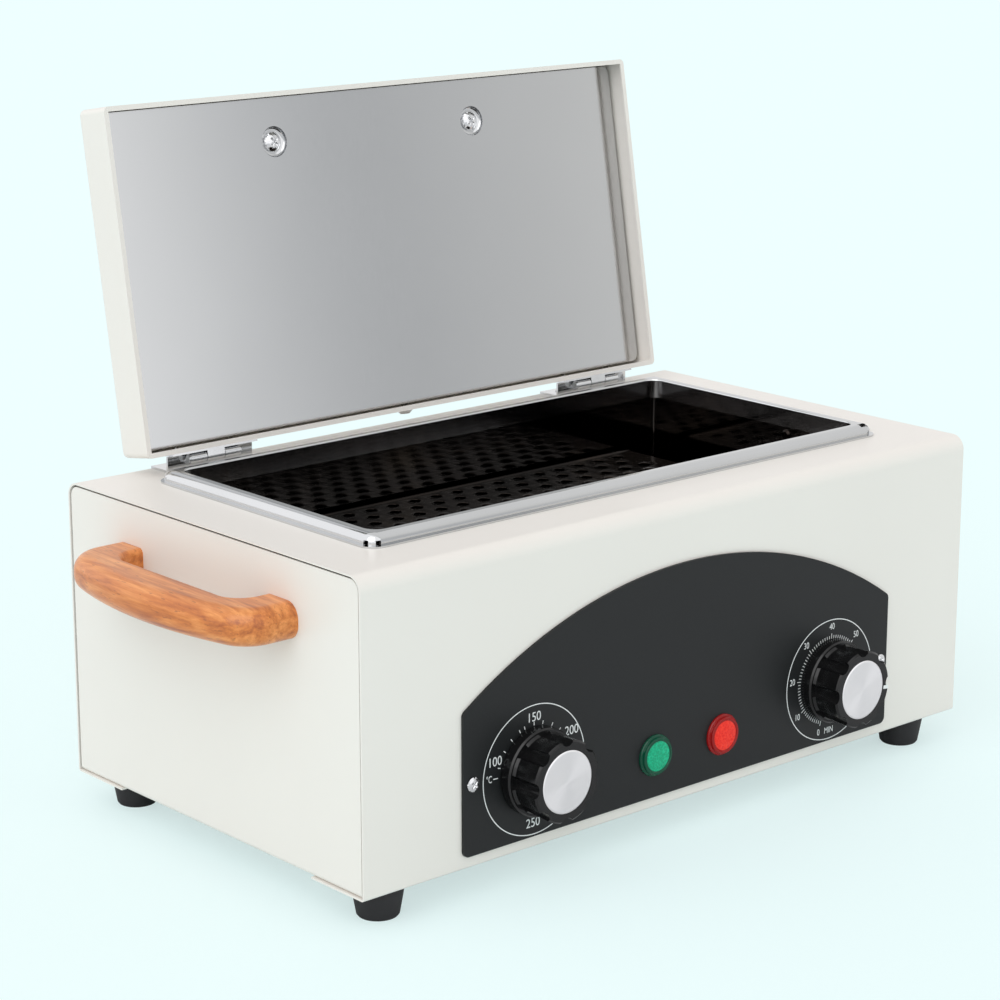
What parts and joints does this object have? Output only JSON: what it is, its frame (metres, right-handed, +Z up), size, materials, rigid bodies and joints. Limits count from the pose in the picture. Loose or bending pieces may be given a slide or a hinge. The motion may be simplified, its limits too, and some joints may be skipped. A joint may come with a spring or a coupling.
{
  "type": "dry heat sterilizer",
  "caption": "Benchtop dry-heat sterilizer: cream sheet-metal box with a hinged lid, steel chamber and perforated tray, wooden bow handles, dial and timer knobs and indicator lamps.",
  "frame": {"origin": "middle of the bounding box at the underside of the feet, lid open as stored", "axes": "+X to the user's right along the length, +Y away from the control panel towards the hinges, +Z up"},
  "size_m": [0.4302, 0.2794, 0.3098],
  "materials": {
    "cream_paint": "satin powder coat",
    "bright_steel": "polished",
    "plain_steel": "zinc plated",
    "chrome": "polished",
    "black_rubber": "matte",
    "panel_grey": "satin print",
    "knob_black": "satin",
    "spun_aluminium": "spun",
    "brass": "turned",
    "copper": "drawn",
    "green_lens": "moulded",
    "red_lens": "moulded",
    "nylon": "moulded",
    "dark_nylon": "moulded",
    "wool": "loose",
    "heater_aluminium": "plain",
    "oiled_wood": "varnished"
  },
  "bodies": {
    "housing": {"housing_wrap": "cream_paint", "chassis": "cream_paint", "foot_front_left": "black_rubber", "foot_front_right": "black_rubber", "foot_back_left": "black_rubber", "foot_back_right": "black_rubber", "foot_screws": "plain_steel", "foot_nuts": "plain_steel", "floor_screws": "plain_steel", "rim": "bright_steel", "chamber": "bright_steel", "tray": "bright_steel", "heater_plate": "heater_aluminium", "insulation_pad": "wool", "heater_straps": "plain_steel", "thermostat_bulb": "copper", "bulb_clips": "plain_steel", "bulb_rivets": "bright_steel", "control_panel": "panel_grey", "panel_screws": "chrome", "thermostat_body": "nylon", "timer_body": "plain_steel", "bush_nuts": "plain_steel", "lamp_lens_green": "green_lens", "lamp_lens_red": "red_lens", "lamp_holders": "nylon", "lamp_nuts": "dark_nylon", "cord_gland": "black_rubber", "gland_nut": "dark_nylon", "terminal_block": "nylon", "handle_left": "oiled_wood", "handle_right": "oiled_wood", "handle_screws": "plain_steel", "hinge_base_left": "chrome", "hinge_base_right": "chrome", "hinge_pins": "plain_steel", "hinge_base_screws": "chrome"},
    "lid": {"lid_shell": "cream_paint", "lid_liner": "bright_steel", "lid_insulation": "wool", "lid_handle": "oiled_wood", "lid_handle_screws": "chrome", "lid_rear_screw": "chrome", "hinge_leaf_left": "chrome", "hinge_leaf_right": "chrome", "hinge_lid_screws": "chrome"},
    "thermostat_dial": {"thermostat_knob": "knob_black", "thermostat_knob_cap": "spun_aluminium", "thermostat_shaft": "brass"},
    "timer_dial": {"timer_knob": "knob_black", "timer_knob_cap": "spun_aluminium", "timer_shaft": "brass"}
  },
  "joints": [
    {"name": "lid_hinge", "type": "hinge", "parent": "housing", "child": "lid", "pos_m": [0, 0.06514, 0.15455], "axis": [1, 0, 0], "range_deg": [0, 99.57]},
    {"name": "thermostat_turn", "type": "hinge", "parent": "housing", "child": "thermostat_dial", "pos_m": [-0.0901, -0.11806, 0.0498], "axis": [0, 1, 0], "range_deg": [0, 270]},
    {"name": "timer_turn", "type": "hinge", "parent": "housing", "child": "timer_dial", "pos_m": [0.0901, -0.11806, 0.0498], "axis": [0, 1, 0], "range_deg": [0, 300]}
  ]
}
